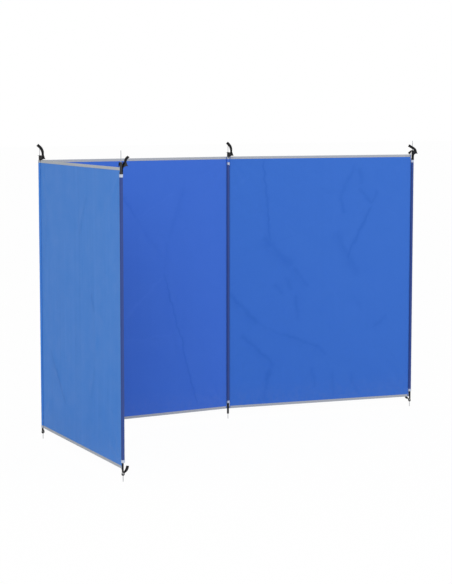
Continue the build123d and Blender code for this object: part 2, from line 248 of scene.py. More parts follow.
def threadBacks(tree, count):  # |sin| of half a turn to each thread, so one round back follows another
    return math2(tree, "ABSOLUTE", math2(tree, "SINE", math2(tree, "MULTIPLY", count, math.pi)))


def weaveGroup():
    # plain weave: warp and weft threads are rounded by |sin| of their own direction, and a checker of the
    # two counts says which one lies on top
    tree, start, end = newGroup("plainWeave", ["Vector"], {"Thread": 0.0008}, ["Height", "Over"])
    split = axesOf(tree, start.outputs["Vector"])
    u, v = (math2(tree, "DIVIDE", split.outputs[axis], start.outputs["Thread"]) for axis in "XY")
    count = math2(tree, "ADD", math2(tree, "FLOOR", u), math2(tree, "FLOOR", v))
    over = math2(tree, "ABSOLUTE", math2(tree, "MODULO", count, 2.0))
    under = math2(tree, "SUBTRACT", 1.0, over)
    weft = math2(tree, "MULTIPLY", threadBacks(tree, v), under)
    height = math2(tree, "ADD", math2(tree, "MULTIPLY", threadBacks(tree, u), over), weft)
    tree.links.new(height, end.inputs["Height"])
    tree.links.new(over, end.inputs["Over"])
    return tree


ribForm = {"slant": 0.8, "ribShare": 0.6, "pickShare": 0.4}


def twillGroup():
    # webbing: ribs run along the length as |sin| of the place across, and a slanted |sin| gives the herringbone picks
    tree, start, end = newGroup("webbingRibs", ["Vector"], {"Rib": 0.0016, "Pick": 0.0011}, ["Height"])
    split = axesOf(tree, start.outputs["Vector"])
    u = math2(tree, "DIVIDE", split.outputs["X"], start.outputs["Rib"])
    v = math2(tree, "DIVIDE", split.outputs["Y"], start.outputs["Pick"])
    slant = scaled(tree, math2(tree, "PINGPONG", u, 1.0), ribForm["slant"], v)
    pick = math2(tree, "MULTIPLY", threadBacks(tree, slant), ribForm["pickShare"])
    tree.links.new(scaled(tree, threadBacks(tree, u), ribForm["ribShare"], pick), end.inputs["Height"])
    return tree


# size, detail and roughness of each noise of wear, and the values that count as none and as full
wearNoise = {"Fade": ((1.7, 2.0), (0.3, 0.7)), "Marks": ((9.0, 5.0, 0.6), (0.35, 0.7)),
             "Lint": ((420.0, 2.0), (0.6, 0.8)), "Dust": ((34.0, 6.0, 0.65), (0.35, 0.75))}


def fadeGroup():
    # outdoor wear: broad sun fade, cloudy handling marks and fine lint from three sizes of noise, and a band of
    # dust that rises from the ground and breaks up
    tree, start, end = newGroup("outdoorWear", ["Vector"], {"Dust Top": 0.2}, list(wearNoise))
    point = start.outputs["Vector"]
    masks = {label: ramp(tree, noiseOf(tree, point, *noise), *ends) for label, (noise, ends) in wearNoise.items()}
    height = math2(tree, "DIVIDE", axesOf(tree, point).outputs["Z"], start.outputs["Dust Top"])
    level = math2(tree, "SUBTRACT", 1.0, height, clamp=True)
    masks["Dust"] = math2(tree, "MULTIPLY", level, masks["Dust"])
    for label, mask in masks.items():
        tree.links.new(mask, end.inputs[label])
    return tree


# size, detail, roughness and stretch of streaks and scuffs, the values between which scuffs come in, and how much
# detail the pebble has
scuffNoise = {"streak": (160.0, 3.0, 0.6, (6.0, 6.0, 0.25)), "scuff": (260.0, 6.0, 0.7, (1.0, 1.0, 0.5)),
              "comesIn": (0.58, 0.72), "pebbleDetail": 2.0}


def scuffGroup():
    # moulded and plated pieces: a fine pebble height, streaks drawn out along the upright axis, and scattered scuffs
    tree, start, end = newGroup("scuffs", ["Vector"], {"Grain": 900.0}, ["Pebble", "Streak", "Scuff"])
    point = start.outputs["Vector"]
    pebble = tree.nodes.new("ShaderNodeTexNoise")
    pebble.inputs["Detail"].default_value = scuffNoise["pebbleDetail"]
    tree.links.new(point, pebble.inputs["Vector"])
    tree.links.new(start.outputs["Grain"], pebble.inputs["Scale"])
    scuff = ramp(tree, noiseOf(tree, point, *scuffNoise["scuff"]), *scuffNoise["comesIn"])
    tree.links.new(pebble.outputs["Fac"], end.inputs["Pebble"])
    tree.links.new(noiseOf(tree, point, *scuffNoise["streak"]), end.inputs["Streak"])
    tree.links.new(scuff, end.inputs["Scuff"])
    return tree


creaseForm = {"wanderScale": 13.0, "wander": 0.05, "endPower": 9.0, "core": 0.37, "skirt": 0.88, "coreShare": 0.75}


def creaseGroup():
    # one pressed crease: the place along the line and the distance beside it, which a noise lets wander; the line is
    # a narrow bell on a wide one, the step climbs from one side to the other, and both fade towards the ends
    tree, start, end = newGroup("pressedCrease", ["Vector", "Start", "Ahead", "Beside"],
                                {"Length": 0.5, "Width": 0.01}, ["Line", "Step"])
    fromStart, walk, side = (tree.nodes.new("ShaderNodeVectorMath") for k in range(3))
    fromStart.operation = "SUBTRACT"
    tree.links.new(start.outputs["Vector"], fromStart.inputs[0])
    tree.links.new(start.outputs["Start"], fromStart.inputs[1])
    for node, label in ((walk, "Ahead"), (side, "Beside")):
        node.operation = "DOT_PRODUCT"
        tree.links.new(fromStart.outputs[0], node.inputs[0])
        tree.links.new(start.outputs[label], node.inputs[1])
    wander = math2(tree, "SUBTRACT", noiseOf(tree, start.outputs["Vector"], creaseForm["wanderScale"]), 0.5)
    beside = scaled(tree, wander, creaseForm["wander"], side.outputs["Value"])
    share = math2(tree, "DIVIDE", walk.outputs["Value"], start.outputs["Length"], clamp=True)
    off = math2(tree, "ABSOLUTE", scaled(tree, share, 2.0, -1.0))
    fade = math2(tree, "SUBTRACT", 1.0, math2(tree, "POWER", off, creaseForm["endPower"]))
    spread = math2(tree, "DIVIDE", beside, start.outputs["Width"])
    square = math2(tree, "MULTIPLY", spread, spread)
    core, skirt = (math2(tree, "POWER", creaseForm[part], square) for part in ("core", "skirt"))
    wide = math2(tree, "MULTIPLY", skirt, 1 - creaseForm["coreShare"])
    bell = scaled(tree, core, creaseForm["coreShare"], wide)
    climb = scaled(tree, math2(tree, "TANH", spread), 0.5, 0.5)
    # the line masks the painted shade and highlight of the crease, the step its relief
    tree.links.new(math2(tree, "MULTIPLY", bell, fade), end.inputs["Line"])
    tree.links.new(math2(tree, "MULTIPLY", climb, fade), end.inputs["Step"])
    return tree


weave, ribs, wear, scuffs, pressed = weaveGroup(), twillGroup(), fadeGroup(), scuffGroup(), creaseGroup()
print("finish groups built")


# materials

def startMaterial(name):
    material = bpy.data.materials.new(name)
    material.use_nodes = True
    tree = material.node_tree
    return material, tree, tree.nodes["Principled BSDF"]


def useGroup(tree, group, vector, **values):
    node = tree.nodes.new("ShaderNodeGroup")
    node.node_tree = group
    tree.links.new(vector, node.inputs["Vector"])
    for label, value in values.items():
        node.inputs[label.replace("_", " ")].default_value = value
    return node


def tint(tree, mask, base, other, share=None):  # colour mix by a mask, or a share of it; base and other: sockets or rgb
    node = tree.nodes.new("ShaderNodeMix")
    node.data_type = "RGBA"
    tree.links.new(mask if share is None else math2(tree, "MULTIPLY", mask, share), node.inputs[0])
    for k, value in ((6, base), (7, other)):  # colour sockets of the node, and 2 is its colour output
        if isinstance(value, tuple):
            node.inputs[k].default_value = (*value, 1.0)
        else:
            tree.links.new(value, node.inputs[k])
    return node.outputs[2]


def bumpOf(tree, height, strength, distance, under=None):
    node = tree.nodes.new("ShaderNodeBump")
    node.inputs["Strength"].default_value = strength
    node.inputs["Distance"].default_value = distance
    tree.links.new(height, node.inputs["Height"])
    if under is not None:
        tree.links.new(under, node.inputs["Normal"])
    return node.outputs[0]


def coordinates(tree):
    node = tree.nodes.new("ShaderNodeTexCoord")
    return node.outputs["Object"], node.outputs["UV"]


def linkFinish(tree, shader, colour, rough, normal):
    for socket, label in ((colour, "Base Color"), (rough, "Roughness"), (normal, "Normal")):
        tree.links.new(socket, shader.inputs[label])


def addCreases(tree, uvPoint, lines, flip):  # painted shading and height of a list of creases, one added to the next
    paintedShading, height = 0.0, 0.0
    for x0, z0, x1, z1, width, shade, lift in lines:
        span = math.hypot(x1 - x0, z1 - z0)
        right, up = (x1 - x0) / span, (z1 - z0) / span
        crease = useGroup(tree, pressed, uvPoint, Start=(x0, z0, 0.0), Ahead=(right, up, 0.0),
                          Beside=(up, -right, 0.0), Length=span, Width=width)
        paintedShading = scaled(tree, crease.outputs["Line"], shade, paintedShading)
        height = scaled(tree, crease.outputs["Step"], lift * flip, height)
    return paintedShading, height


# what all cloth shares: bumps as strength and depth, noises as size, detail, roughness and stretch
# the two tints darken the warp colour as painted shade and lighten it as painted highlight along creases and streaks
clothFinish = {"fuzz": (0.08, 0.0002), "drawn": (32.0, 2.0, 0.5, (1.0, 0.022, 1.0)), "patches": (2.6, 2.0),
               "patchRange": (0.35, 0.65, 0.1, 1.0), "creaseBump": (1.0, 0.001), "creaseTone": 1.35,
               "deep": (0.1, 0.55, 0.75), "pale": (2.0, 1.5, 1.25), "roughMarks": 0.10, "roughThread": -0.06,
               "threadDepth": 0.2}


def clothMaterial(name, look, lines=(), flip=1.0):
    material, tree, shader = startMaterial(name)
    objectPoint, uvPoint = coordinates(tree)
    threads = useGroup(tree, weave, uvPoint, Thread=look["thread"])
    weather = useGroup(tree, wear, objectPoint, Dust_Top=look["dustTop"])
    colour = tint(tree, threads.outputs["Over"], look["warp"], look["weft"])
    for mask, share, other in (("Fade", "fade", "faded"), ("Marks", "marks", "marked"), ("Dust", "dust", "dustColour")):
        colour = tint(tree, weather.outputs[mask], colour, look[other], look[share])
    normal = bumpOf(tree, weather.outputs["Lint"], *clothFinish["fuzz"])
    # crease lines are painted into the colour as shade and highlight, besides their bump
    if lines:
        paintedShading, height = addCreases(tree, uvPoint, lines, flip)
        # streaks of painted shade and painted highlight, standing in for the shading of small ripples in the sheet
        drawn = math2(tree, "SUBTRACT", noiseOf(tree, uvPoint, *clothFinish["drawn"]), 0.5)
        patch = ramp(tree, noiseOf(tree, uvPoint, *clothFinish["patches"]), *clothFinish["patchRange"])
        paintedShading = scaled(tree, math2(tree, "MULTIPLY", drawn, patch), look["streaks"], paintedShading)
        for shade, way in (("deep", -1), ("pale", 1)):  # tones below nothing are painted shade, the others painted highlight
            other = tuple(min(1.0, part * share) for part, share in zip(look["warp"], clothFinish[shade]))
            mask = math2(tree, "MULTIPLY", paintedShading, way * clothFinish["creaseTone"], clamp=True)
            colour = tint(tree, mask, colour, other)
        normal = bumpOf(tree, height, *clothFinish["creaseBump"], normal)
    rough = scaled(tree, weather.outputs["Marks"], clothFinish["roughMarks"], look["rough"])
    rough = scaled(tree, threads.outputs["Height"], clothFinish["roughThread"], rough)
    threadDepth = look["thread"] * clothFinish["threadDepth"]
    normal = bumpOf(tree, threads.outputs["Height"], look["bump"], threadDepth, normal)
    linkFinish(tree, shader, colour, rough, normal)
    shader.inputs["Specular IOR Level"].default_value = look["specular"]
    return material


# streaks: strength of the painted shade and highlight of small ripples on the creased bays
blueLook = {"thread": 0.0009, "warp": (0.035, 0.121, 0.518), "weft": (0.038, 0.130, 0.546), "fade": 0.16,
            "faded": (0.044, 0.140, 0.536), "marks": 0.10, "marked": (0.031, 0.112, 0.494), "dust": 0.12,
            "dustColour": (0.30, 0.29, 0.30), "dustTop": 0.22, "rough": 0.55, "bump": 0.25, "specular": 0.12,
            "streaks": 0.10}
# the outer face takes much stronger streaks of painted shade and highlight
outerLook = dict(blueLook, warp=(0.051, 0.203, 0.603), weft=(0.056, 0.213, 0.63), faded=(0.067, 0.234, 0.62),
                 marked=(0.045, 0.187, 0.586), streaks=0.55)
paleLook = dict(blueLook, warp=(0.031, 0.126, 0.495), weft=(0.034, 0.136, 0.523), faded=(0.038, 0.145, 0.514),
                marked=(0.028, 0.116, 0.472))
slateLook = dict(blueLook, thread=0.0007, warp=(0.031, 0.058, 0.215), weft=(0.036, 0.066, 0.235),
                 faded=(0.045, 0.078, 0.245), marked=(0.027, 0.05, 0.19), rough=0.62)
tapeLook = dict(blueLook, thread=0.0006, warp=(0.395, 0.416, 0.44), weft=(0.43, 0.452, 0.477),
                faded=(0.47, 0.485, 0.50), marked=(0.35, 0.37, 0.392), rough=0.6, bump=0.45, dust=0.08,
                dustColour=(0.30, 0.27, 0.24))
innerTapeLook = dict(tapeLook, warp=(0.335, 0.353, 0.39), weft=(0.365, 0.383, 0.42), faded=(0.395, 0.41, 0.44),
                     marked=(0.30, 0.318, 0.355))
bandLook = dict(tapeLook, warp=(0.42, 0.47, 0.58), weft=(0.46, 0.51, 0.62), faded=(0.50, 0.54, 0.63),
                marked=(0.38, 0.43, 0.54))
threadLook = dict(tapeLook, thread=0.0002, warp=(0.50, 0.505, 0.52), weft=(0.56, 0.565, 0.58))
blueThreadLook = dict(blueLook, thread=0.0002, warp=(0.05, 0.145, 0.54), weft=(0.06, 0.16, 0.58))
blueInside = clothMaterial("blueClothInside", blueLook)
blueOutside = clothMaterial("blueClothOutside", outerLook)

# creases of each bay: start and end as shares of its width and height, width in metres, tone of the painted shading
# (less than nothing is painted shade and darker, more is painted highlight) and height of the step in millimetres
creases = {
    "left": [(0.890, 0.309, 0.678, 0.126, 0.012, -0.20, 0.7), (0.50, 0.75, 0.40, 0.893, 0.012, -0.14, 0.6),
             (0.367, 0.559, 0.32, 0.494, 0.012, -0.16, 0.5), (0.367, 0.191, 0.32, 0.311, 0.012, -0.14, 0.5),
             (0.32, 0.494, 0.33, 0.311, 0.010, -0.06, 0.4), (0.90, 0.83, 0.93, 0.70, 0.012, -0.12, 0.5),
             (0.93, 0.70, 0.97, 0.62, 0.012, -0.10, 0.4)],
    "middle": [(0.646, 0.56, 0.83, 0.01, 0.006, -0.17, -0.8), (0.431, 0.388, 0.64, 0.54, 0.006, 0.08, 0.6),
               (0.431, 0.30, 0.70, 0.314, 0.006, 0.05, 0.5), (0.42, 0.86, 0.495, 0.771, 0.008, -0.13, 0.5),
               (0.495, 0.771, 0.646, 0.606, 0.007, -0.06, 0.4), (0.495, 0.771, 0.72, 0.87, 0.006, 0.06, 0.5),
               (0.756, 0.889, 0.673, 0.683, 0.012, -0.08, 0.4), (0.673, 0.683, 0.650, 0.56, 0.010, -0.06, 0.3)],
    "right": [(0.18, 1.0, 0.226, 0.66, 0.007, -0.18, -0.9), (0.18, 0.685, 0.343, 0.558, 0.020, -0.15, -0.9),
              (0.343, 0.558, 0.431, 0.475, 0.014, -0.12, -0.6), (0.69, 0.97, 0.595, 0.826, 0.014, -0.11, 0.6),
              (0.595, 0.83, 0.625, 0.765, 0.010, -0.16, 0.5), (0.70, 0.95, 0.72, 0.88, 0.014, -0.11, 0.4),
              (0.70, 0.87, 0.775, 0.80, 0.012, -0.12, 0.4), (0.775, 0.80, 0.64, 0.585, 0.007, -0.20, 0.8),
              (0.775, 0.80, 0.80, 0.86, 0.009, -0.12, 0.4), (0.575, 0.70, 0.70, 0.51, 0.020, -0.13, -0.7),
              (0.0, 0.465, 0.165, 0.328, 0.012, -0.17, -0.8), (0.159, 0.331, 0.289, 0.289, 0.007, -0.07, -0.4),
              (0.28, 0.292, 0.48, 0.235, 0.009, -0.15, -0.6), (0.47, 0.24, 0.53, 0.195, 0.009, -0.12, -0.5),
              (0.07, 0.298, 0.245, 0.16, 0.012, -0.16, -0.7), (0.235, 0.17, 0.20, 0.10, 0.014, -0.09, 0.4),
              (0.355, 0.45, 0.375, 0.335, 0.010, -0.12, 0.4), (0.24, 0.49, 0.29, 0.45, 0.010, -0.10, 0.4),
              (0.30, 0.52, 0.34, 0.46, 0.012, -0.10, 0.4), (0.784, 0.294, 0.866, 0.345, 0.009, -0.11, 0.4),
              (0.66, 0.44, 0.73, 0.37, 0.014, -0.06, 0.3), (0.02, 0.87, 0.12, 0.93, 0.008, 0.05, 0.4),
              (0.215, 0.15, 0.19, 0.02, 0.012, -0.12, 0.4), (0.45, 0.15, 0.47, 0.06, 0.010, -0.12, 0.4),
              (0.56, 0.13, 0.57, 0.02, 0.012, -0.09, 0.4), (0.66, 0.12, 0.70, 0.03, 0.012, -0.09, 0.4)],
}


def creaseLines(bayName):  # the same creases in metres on the cloth
    wide, low, tall = plan["pitch"], plan["hem"], plan["head"] - plan["hem"]
    return [(s0 * wide, low + t0 * tall, s1 * wide, low + t1 * tall, *rest)
            for s0, t0, s1, t1, *rest in creases[bayName]]


insideLooks = {"left": blueLook, "middle": blueLook, "right": paleLook}
clothSides = {}
for bayName, look in insideLooks.items():
    lines = creaseLines(bayName)
    clothSides[bayName] = (clothMaterial(bayName + "BayInside", look, lines),
                           clothMaterial(bayName + "BayOutside", outerLook, lines, -1.0))
slateCloth = clothMaterial("slateSleeveCloth", slateLook)
greyTape = clothMaterial("greyBindingTape", tapeLook)
innerTape = clothMaterial("greyBindingTapeInside", innerTapeLook)
paleBand = clothMaterial("paleMouthTape", bandLook)
greyThread = clothMaterial("greySewingThread", threadLook)
blueThread = clothMaterial("blueSewingThread", blueThreadLook)


webbingLook = {"dark": (0.003, 0.003, 0.0035), "light": (0.010, 0.010, 0.011), "worn": (0.03, 0.03, 0.032),
               "wear": 0.35, "dustColour": (0.16, 0.15, 0.14), "dust": 0.3, "dustTop": 0.12, "rib": 0.0018,
               "pick": 0.0013, "rough": 0.75, "roughMarks": 0.15, "bump": (0.7, 0.0004), "specular": 0.2}


def webbingMaterial(name, look):
    material, tree, shader = startMaterial(name)
    objectPoint, uvPoint = coordinates(tree)
    rib = useGroup(tree, ribs, uvPoint, Rib=look["rib"], Pick=look["pick"])
    weather = useGroup(tree, wear, objectPoint, Dust_Top=look["dustTop"])
    colour = tint(tree, rib.outputs["Height"], look["dark"], look["light"])
    colour = tint(tree, weather.outputs["Lint"], colour, look["worn"], look["wear"])
    colour = tint(tree, weather.outputs["Dust"], colour, look["dustColour"], look["dust"])
    rough = scaled(tree, weather.outputs["Marks"], look["roughMarks"], look["rough"])
    linkFinish(tree, shader, colour, rough, bumpOf(tree, rib.outputs["Height"], *look["bump"]))
    shader.inputs["Specular IOR Level"].default_value = look["specular"]
    return material


plugLook = {"base": (0.014, 0.014, 0.0155), "patch": (0.021, 0.021, 0.0225), "scuffed": (0.06, 0.06, 0.062),
            "scuffs": 0.4, "rough": 0.45, "roughScuffs": 0.2, "grain": 1400.0, "bump": (0.25, 0.0003),
            "specular": 0.3}
buckleLook = dict(plugLook, base=(0.005, 0.005, 0.006), patch=(0.008, 0.008, 0.009), scuffed=(0.03, 0.03, 0.031),
                  rough=0.5)


def plasticMaterial(name, look):
    material, tree, shader = startMaterial(name)
    objectPoint = coordinates(tree)[0]
    grain = useGroup(tree, scuffs, objectPoint, Grain=look["grain"])
    weather = useGroup(tree, wear, objectPoint)
    colour = tint(tree, weather.outputs["Marks"], look["base"], look["patch"])
    colour = tint(tree, grain.outputs["Scuff"], colour, look["scuffed"], look["scuffs"])
    rough = scaled(tree, grain.outputs["Scuff"], look["roughScuffs"], look["rough"])
    linkFinish(tree, shader, colour, rough, bumpOf(tree, grain.outputs["Pebble"], *look["bump"]))
    shader.inputs["Specular IOR Level"].default_value = look["specular"]
    return material


steelLook = {"bright": (0.36, 0.37, 0.39), "dull": (0.24, 0.25, 0.27), "spot": (0.16, 0.14, 0.12), "spots": 0.3,
             "rough": 0.32, "roughStreaks": 0.25, "grain": 2200.0, "bump": (0.12, 0.0002)}


def steelMaterial(name, look):
    material, tree, shader = startMaterial(name)
    grain = useGroup(tree, scuffs, coordinates(tree)[0], Grain=look["grain"])
    colour = tint(tree, grain.outputs["Streak"], look["bright"], look["dull"])
    colour = tint(tree, grain.outputs["Scuff"], colour, look["spot"], look["spots"])
    rough = scaled(tree, grain.outputs["Streak"], look["roughStreaks"], look["rough"])
    linkFinish(tree, shader, colour, rough, bumpOf(tree, grain.outputs["Streak"], *look["bump"]))
    shader.inputs["Metallic"].default_value = 1.0
    return material


blackWebbing = webbingMaterial("blackWebbing", webbingLook)
zincSteel = steelMaterial("zincPlatedSteel", steelLook)
plugPlastic = plasticMaterial("greyBlackPlugs", plugLook)
bucklePlastic = plasticMaterial("blackBuckles", buckleLook)
print("materials built")


def dress(piece, material, body, slotName, *nodes):
    piece.data.materials.append(material)
    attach(piece, body)
    if nodes:
        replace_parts(piece, *nodes)
    return piece


# stretched cloth

cloth = {"columns": 164, "rows": 204, "thickness": 0.0007, "sideInset": 0.0091, "mouthInset": 0.0103,
         "mouthDepth": 0.051, "mouthLead": 0.001, "mouthEase": 0.004, "edgeFold": 0.0005, "billow": 0.006}
# form of a crease in the sheet: the height and width of the listed ones, the wander from side to side, how lopsided
# and steep the bell is, and how it dies at the ends and past them
swell = {"height": 0.0026, "width": 0.032, "wander": 0.25, "waves": 9, "waveShift": 40, "lopside": 0.8, "steep": 1.4,
         "endPower": 0.7, "endLeast": 0.02, "pastEnd": 0.03}
# small creases thrown at random: margins as shares of the sheet, heading and its spread in radians, metres
small = {"seeds": {"left": 11, "middle": 23, "right": 37}, "count": 26, "height": 0.0005, "margins": (0.08, 0.92),
         "heading": (1.2, 0.7), "reach": (0.03, 0.09), "width": (0.010, 0.018)}
# folds that fan from the corners, with a phase for each of them
fan = {"height": 0.0016, "reach": 0.22, "folds": 13, "clear": 0.12, "least": 1e-6, "phases": (0.3, 1.9, 2.6, 0.9)}
# how near to poles and edges the sheet is held flat, and the share that is left at the edges
flatNear = {"pole": 0.012, "poleEase": 0.06, "edgeEase": 0.09, "edgeShare": 0.12}
clothLow, clothHigh = plan["hem"] + cloth["edgeFold"], plan["head"] - cloth["edgeFold"]
clothHeight = clothHigh - clothLow


def insetAt(z):  # gap from pole axis to cloth: wider beside the taped sleeve mouths, eased over a few millimetres
    ease = np.clip((fromEdge(z) - cloth["mouthDepth"] + cloth["mouthLead"]) / cloth["mouthEase"], 0, 1)
    return cloth["mouthInset"] + (cloth["sideInset"] - cloth["mouthInset"]) * ease


creaseSets = {}
for bayName, listed in creases.items():
    dice = np.random.default_rng(small["seeds"][bayName])
    count = small["count"]
    mid = dice.uniform(*small["margins"], (count, 2))
    heading = dice.normal(*small["heading"], count)
    reach = dice.uniform(*small["reach"], count)
    step = np.stack([np.cos(heading) * reach, np.sin(heading) * reach], axis=1)
    size = dice.uniform(-1, 1, (count, 1)) * small["height"]
    width = dice.uniform(*small["width"], (count, 1))
    swells = np.array([(*line[:4], swell["height"] * line[-1], swell["width"]) for line in listed])
    creaseSets[bayName] = np.concatenate([swells, np.concatenate([mid - step, mid + step, size, width], axis=1)])


# distance out of the bay's plane: a shallow billow that is the product of two half sines; creases, where the distance
# from a line gives a bell that is steeper on one side; and folds that fan from the corners as a sine of the angle
# and die away with the distance. All of it eases to nothing at the poles.
def clothOffset(bayName, x, z):
    width = plan["pitch"]
    s, t = x / width, (z - plan["hem"]) / (plan["head"] - plan["hem"])
    way = 1 if bayName == "middle" else -1
    offset = way * cloth["billow"] * np.sin(np.pi * s) * np.sin(np.pi * np.clip(t, 0, 1))
    for s0, t0, s1, t1, height, wide in creaseSets[bayName]:
        ax, az = s0 * width, t0 * clothHeight + plan["hem"]
        dx, dz = (s1 - s0) * width, (t1 - t0) * clothHeight
        span = math.hypot(dx, dz)
        walk = np.clip(((x - ax) * dx + (z - az) * dz) / span ** 2, 0, 1)
        side = ((x - ax) * dz - (z - az) * dx) / span
        past = np.maximum(np.hypot(x - ax - walk * dx, z - az - walk * dz) - np.abs(side), 0)
        bend = side / wide + swell["wander"] * np.sin(swell["waves"] * walk + swell["waveShift"] * s0)
        bell = np.exp(-bend ** 2) * (1 + swell["lopside"] * np.tanh(swell["steep"] * bend))
        ends = np.sin(np.pi * np.clip(walk, swell["endLeast"], 1 - swell["endLeast"])) ** swell["endPower"]
        offset = offset + height * bell * ends * np.exp(-past / swell["pastEnd"])
    corners = [(cornerX, cornerZ) for cornerZ in (plan["hem"], plan["head"]) for cornerX in (0, width)]
    for (cornerX, cornerZ), phase in zip(corners, fan["phases"]):
        away = np.hypot(x - cornerX, z - cornerZ)
        angle = np.arctan2(np.abs(z - cornerZ), np.abs(x - cornerX) + fan["least"])
        folds = fan["height"] * np.sin(fan["folds"] * angle + phase) * np.exp(-away / fan["reach"])
        offset = offset + folds * np.clip(away / fan["clear"], 0, 1)
    nearPole = np.clip((np.minimum(x, width - x) - flatNear["pole"]) / flatNear["poleEase"], 0, 1)
    nearEdge = np.clip(fromEdge(z) / flatNear["edgeEase"], 0, 1)
    left = flatNear["edgeShare"]
    return offset * smooth(nearPole) * (left + (1 - left) * smooth(nearEdge))


def clothPoint(bayName, x, z, lift=0.0):  # points of the sheet, raised off it by lift along the bay's normal
    return np.stack([x, clothOffset(bayName, x, z) + lift, z], axis=-1)


def makePanel(bayName):
    bay = bays[bayName]
    t = np.linspace(0, 1, cloth["rows"])[:, None]
    s = np.linspace(0, 1, cloth["columns"])[None, :]
    z = clothLow + clothHeight * t + 0 * s
    inset = insetAt(z)
    x = inset + (plan["pitch"] - 2 * inset) * s
    points = place(clothPoint(bayName, x, z), bay)
    uv = np.stack([x, z], axis=2)
    panel = openSurface(bayName + "_cloth", points, uv, bay["turn"] @ np.array([0.0, -1.0, 0.0]))
    solid = panel.modifiers.new("clothBody", "SOLIDIFY")
    solid.thickness = cloth["thickness"]
    solid.offset = 0.0
    solid.material_offset = 1
    for side in clothSides[bayName]:
        panel.data.materials.append(side)
    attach(panel, bay["body"])
    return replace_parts(panel, bayName + "_panel")


panels = {bayName: makePanel(bayName) for bayName in bays}
print("cloth of three bays built")

# folded tape on the upper and lower edge

tape = {"columns": 150, "inset": 0.015, "depth": 0.015, "sewn": 0.0125, "thickness": 0.0005, "gap": 0.0004,
        "legPoints": 7, "legTop": 0.06, "bowPoints": 9, "sharp": 50, "wave": 0.00025, "waveLengths": (0.31, 0.083),
        "wavePhase": 1.3, "waveDown": 0.4, "waveOut": 0.3}


# outline of tape folded over an edge, both faces: how far down from the fold, how far to the side, and the way round
def foldedOutline(outer, inner):
    count = tape["legPoints"]
    legs = np.linspace(1, tape["legTop"], count) * tape["depth"]
    bow = np.radians(np.linspace(0, 180, tape["bowPoints"]))
    down = np.concatenate([legs, outer - outer * np.sin(bow), legs[::-1],
                           legs, outer - inner * np.sin(bow), legs[::-1]])
    side = np.concatenate([np.full(count, outer), outer * np.cos(bow), np.full(count, -outer),
                           np.full(count, -inner), -inner * np.cos(bow), np.full(count, inner)])
    ring = np.stack([np.append(down, down[0]), np.append(side, side[0])], axis=1)
    return down, side, runLength(ring)


# U-shaped outline of the tape (outer leg down, round the fold, other leg) carried along the bay; each point of the
# outline also moves with the cloth at its own height, and the free lips wander in and out a little along the length
# by the product of a long sine and a short one
def makeTape(name, bayName, edge):
    x = np.linspace(tape["inset"], plan["pitch"] - tape["inset"], tape["columns"])[:, None]
    down, side, around = foldedOutline(tape["gap"] + tape["thickness"], tape["gap"])
    lip = np.clip(down / tape["depth"], 0, 1)[None, :]
    slow, quick = (2 * np.pi * x / length for length in tape["waveLengths"])
    wander = tape["wave"] * lip * np.sin(slow + tape["wavePhase"]) * np.sin(quick)
    depth = down[None, :] + tape["waveDown"] * wander
    z = plan["hem"] + depth if edge == "low" else plan["head"] - depth
    lift = side[None, :] + np.sign(side)[None, :] * np.abs(wander) * tape["waveOut"]
    points = clothPoint(bayName, x + 0 * z, z, lift)
    return closedSurface(name, place(points, bays[bayName]), uvGrid(around, x), sharp=tape["sharp"])


def joinPieces(first, *others):  # several meshes made one piece
    if not others:
        return first
    bpy.ops.object.select_all(action="DESELECT")
    for piece in (first, *others):
        piece.select_set(True)
    bpy.context.view_layer.objects.active = first
    bpy.ops.object.join()
    return first


def faceValues(piece, what):  # centre or normal of every face, one to a row
    values = np.empty(len(piece.data.polygons) * 3)
    piece.data.polygons.foreach_get(what, values)
    return values.reshape(-1, 3)


def paintTapes(piece, bay):  # faces that look to the sheltered side of the bay get the inner finish
    sheltered = faceValues(piece, "normal") @ bay["turn"] @ np.array([0.0, 1.0, 0.0]) < 0
    piece.data.materials.append(innerTape)
    piece.data.polygons.foreach_set("material_index", sheltered.astype(np.int32))


for bayName, bay in bays.items():
    both = joinPieces(makeTape(bayName + "_tapes", bayName, "low"), makeTape(bayName + "_tapeHigh", bayName, "high"))
    dress(both, greyTape, bay["body"], "grey_tape", bayName + "_edge_tapes")
    paintTapes(both, bay)
print("edge tapes built")

# sewn stitches: one small spindle of thread, repeated along the rows

thread = {"pitch": 0.0034, "length": 0.0025, "radius": 0.00026, "sink": 0.3, "fromTapeEnd": 0.003, "fromHem": 0.056,
          "fromPole": 0.0155, "stations": (-0.5, -0.28, 0.28, 0.5), "fullness": (0.25, 1.0, 1.0, 0.25)}


def spindle():  # four rings of four points about X, small at both ends, where a flat face closes them
    fullness = np.array(thread["fullness"])[:, None]
    a = np.radians([45, 135, 225, 315])
    x = np.repeat(thread["stations"], 4) * thread["length"]
    y, z = ((fullness * wave(a)).ravel() * thread["radius"] for wave in (np.cos, np.sin))
    points = np.stack([x, y, z], axis=1)
    i, j = (k.ravel() for k in np.meshgrid(np.arange(3), np.arange(4), indexing="ij"))
    quads = np.stack([i * 4 + j, (i + 1) * 4 + j, (i + 1) * 4 + (j + 1) % 4, i * 4 + (j + 1) % 4], axis=1)
    return points, np.concatenate([quads, [[0, 1, 2, 3], [15, 14, 13, 12]]])


def makeStitches(name, centres, ahead, outward):  # every spindle turned to its row's heading and set into the surface
    shape, quads = spindle()
    axes = (ahead, np.cross(outward, ahead), outward)
    turned = sum(shape[None, :, k:k + 1] * axis[:, None] for k, axis in enumerate(axes))
    points = (centres + outward * thread["radius"] * thread["sink"])[:, None] + turned
    faces = (quads[None] + len(shape) * np.arange(len(centres))[:, None, None]).reshape(-1, 4)
    if signedVolume(points[0] - points[0].mean(0), quads) < 0:
        faces = faces[:, ::-1]
    uv = np.tile(shape[quads.ravel()][:, :2], (len(centres), 1))
    return meshFrom(name, points.reshape(-1, 3), faces, uv)


